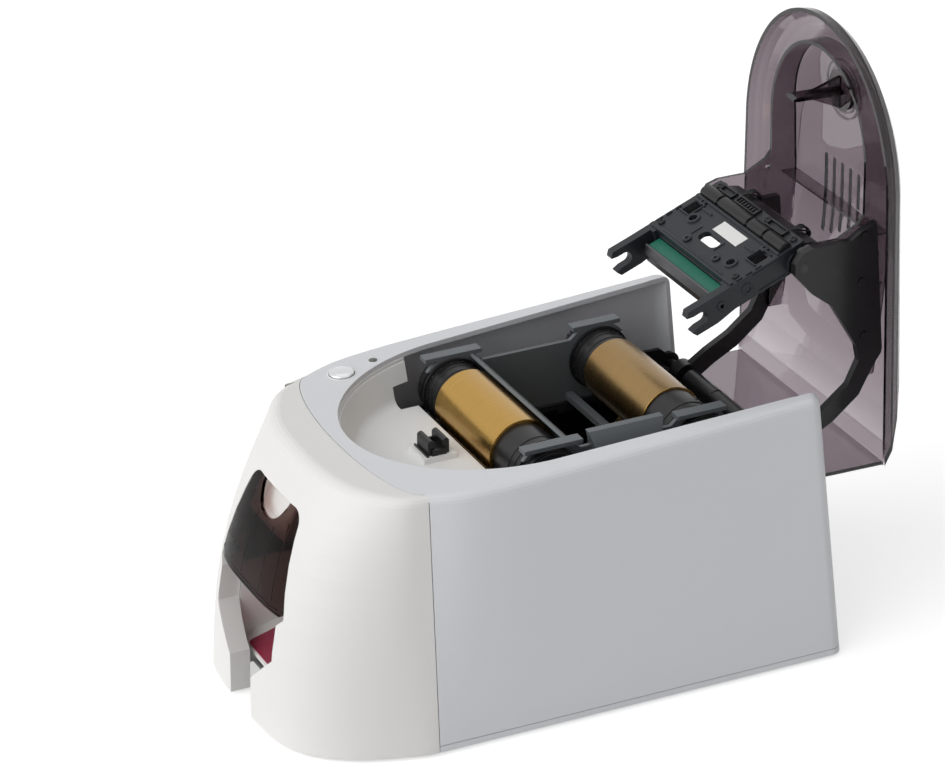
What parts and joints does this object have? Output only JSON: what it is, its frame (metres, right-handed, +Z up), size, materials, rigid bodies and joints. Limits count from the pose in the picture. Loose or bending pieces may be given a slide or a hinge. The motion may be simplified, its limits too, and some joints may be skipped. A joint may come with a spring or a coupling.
{
  "type": "id card printer",
  "caption": "Desktop id card printer with a hinged smoked lid, print head, lift-out ribbon cassette, card rollers and output window.",
  "frame": {"origin": "middle of the footprint of the whole object, lid standing open, on the floor under the feet", "axes": "+Z up; the card output faces -Y and the lid hinge is at the rear, towards +Y; +X is to the right for someone standing in front of the machine and facing it"},
  "size_m": [0.1998, 0.3805, 0.3514],
  "materials": {
    "casing": "fine satin texture",
    "nose": "fine satin texture",
    "tray": "fine satin texture",
    "smoked": "clear, smoked, polished",
    "window": "clear, smoked, polished",
    "black": "moulded, satin",
    "charcoal": "moulded, satin",
    "cassette": "moulded, satin",
    "gold_ribbon": "wound metallic film",
    "film": "thin metallic film",
    "steel": "turned",
    "sheet_steel": "black coated sheet",
    "rubber": "matt",
    "gear": "moulded",
    "board": "solder mask",
    "card": "printed gloss",
    "lens": "silver, translucent",
    "light": "dark light pipe",
    "label": "paper, blank",
    "head_metal": "dark anodised"
  },
  "bodies": {
    "casing": {"main_shell": "casing", "nose_shell": "nose", "bowl_tray": "tray", "base_pan": "casing", "rubber_feet": "rubber", "output_hopper": "nose", "latch_catch": "black", "button_guide": "black", "button_spring": "steel", "status_led": "light", "chassis_left": "sheet_steel", "chassis_right": "sheet_steel", "rear_bulkhead": "sheet_steel", "cross_bar": "charcoal", "cassette_rails": "charcoal", "idler_posts": "steel", "stepper_motor": "steel", "ribbon_motor": "steel", "main_board": "board", "power_inlet": "black", "hinge_pins": "steel"},
    "lid": {"lid_cover": "smoked", "lid_inner_frame": "smoked", "latch_hook": "smoked", "hinge_arm_left": "black", "hinge_arm_right": "black", "arm_screws": "steel", "counter_spring": "steel", "wire_hook": "steel", "head_pivot_pins": "steel"},
    "head": {"head_carrier": "charcoal", "print_head": "head_metal", "print_strip": "board", "head_housing": "black", "head_connector": "black", "blank_label": "label"},
    "cassette": {"cassette_plate_left": "cassette", "cassette_plate_right": "cassette", "cassette_bridge": "cassette", "ribbon_film": "film"},
    "supply_spool": {"supply_core": "black", "ribbon_roll": "gold_ribbon"},
    "takeup_spool": {"takeup_core": "black", "takeup_wrap": "film"},
    "takeup_drive": {"takeup_drive_gear": "gear"},
    "platen": {"platen_shaft": "steel", "platen_sleeve": "rubber", "platen_gear": "gear"},
    "mid_roller": {"mid_shaft": "steel", "mid_sleeves": "rubber", "mid_gear": "gear"},
    "exit_roller": {"exit_shaft": "steel", "exit_sleeves": "rubber", "exit_gear": "gear"},
    "idler_1": {"idler_gear_1": "gear"},
    "idler_2": {"idler_gear_2": "gear"},
    "pinion": {"motor_pinion": "gear"},
    "button": {"control_button": "lens"},
    "window": {"card_window": "window"},
    "card": {"printed_card": "card"}
  },
  "joints": [
    {"name": "lid_hinge", "type": "hinge", "parent": "casing", "child": "lid", "pos_m": [0, 0.12026, 0.114], "axis": [1, 0, 0], "range_deg": [0, 91.5]},
    {"name": "head_float", "type": "hinge", "parent": "lid", "child": "head", "pos_m": [0, 0.1302, 0.22722], "axis": [1, 0, 0], "range_deg": [-0.5, 0.5], "stiffness_Nm_per_rad": 12},
    {"name": "cassette_lift", "type": "slide", "parent": "casing", "child": "cassette", "axis": [0, 0.5, -0.866], "range_m": [-0.12, 0]},
    {"name": "takeup_spin", "type": "hinge", "parent": "cassette", "child": "takeup_spool", "pos_m": [0, 0.06376, 0.137], "axis": [1, 0, 0], "continuous": true},
    {"name": "supply_spin", "type": "hinge", "parent": "cassette", "child": "supply_spool", "pos_m": [0, -0.03024, 0.137], "axis": [1, 0, 0], "continuous": true},
    {"name": "takeup_drive_spin", "type": "hinge", "parent": "casing", "child": "takeup_drive", "pos_m": [0, 0.07754, 0.11314], "axis": [1, 0, 0], "continuous": true},
    {"name": "platen_spin", "type": "hinge", "parent": "casing", "child": "platen", "pos_m": [0, 0.03056, 0.0626], "axis": [1, 0, 0], "continuous": true},
    {"name": "idler_1_spin", "type": "hinge", "parent": "casing", "child": "idler_1", "pos_m": [0, 0.00856, 0.0626], "axis": [1, 0, 0], "continuous": true},
    {"name": "mid_spin", "type": "hinge", "parent": "casing", "child": "mid_roller", "pos_m": [0, -0.01344, 0.0626], "axis": [1, 0, 0], "continuous": true},
    {"name": "idler_2_spin", "type": "hinge", "parent": "casing", "child": "idler_2", "pos_m": [0, -0.03544, 0.0626], "axis": [1, 0, 0], "continuous": true},
    {"name": "exit_spin", "type": "hinge", "parent": "casing", "child": "exit_roller", "pos_m": [0, -0.05744, 0.0626], "axis": [1, 0, 0], "continuous": true},
    {"name": "pinion_spin", "type": "hinge", "parent": "casing", "child": "pinion", "pos_m": [0, 0.03056, 0.0446], "axis": [1, 0, 0], "continuous": true},
    {"name": "button_press", "type": "slide", "parent": "casing", "child": "button", "axis": [0, 0.0489, -0.9988], "range_m": [0, 0.0012], "stiffness_N_per_m": 400, "springref_m": -0.001, "deforming": ["button_spring"]},
    {"name": "window_hinge", "type": "hinge", "parent": "casing", "child": "window", "pos_m": [0, -0.17574, 0.079], "axis": [1, 0, 0], "range_deg": [0, 30]},
    {"name": "card_lift", "type": "slide", "parent": "casing", "child": "card", "axis": [0, 0, 1], "range_m": [0, 0.03]}
  ],
  "couplings": [
    {"joint": "supply_spin", "follows": "takeup_spin", "ratio": 0.94898},
    {"joint": "takeup_drive_spin", "follows": "takeup_spin", "ratio": -1.7},
    {"joint": "idler_1_spin", "follows": "platen_spin", "ratio": -1.2},
    {"joint": "mid_spin", "follows": "platen_spin", "ratio": 1},
    {"joint": "idler_2_spin", "follows": "platen_spin", "ratio": -1.2},
    {"joint": "exit_spin", "follows": "platen_spin", "ratio": 1},
    {"joint": "pinion_spin", "follows": "platen_spin", "ratio": -2}
  ]
}
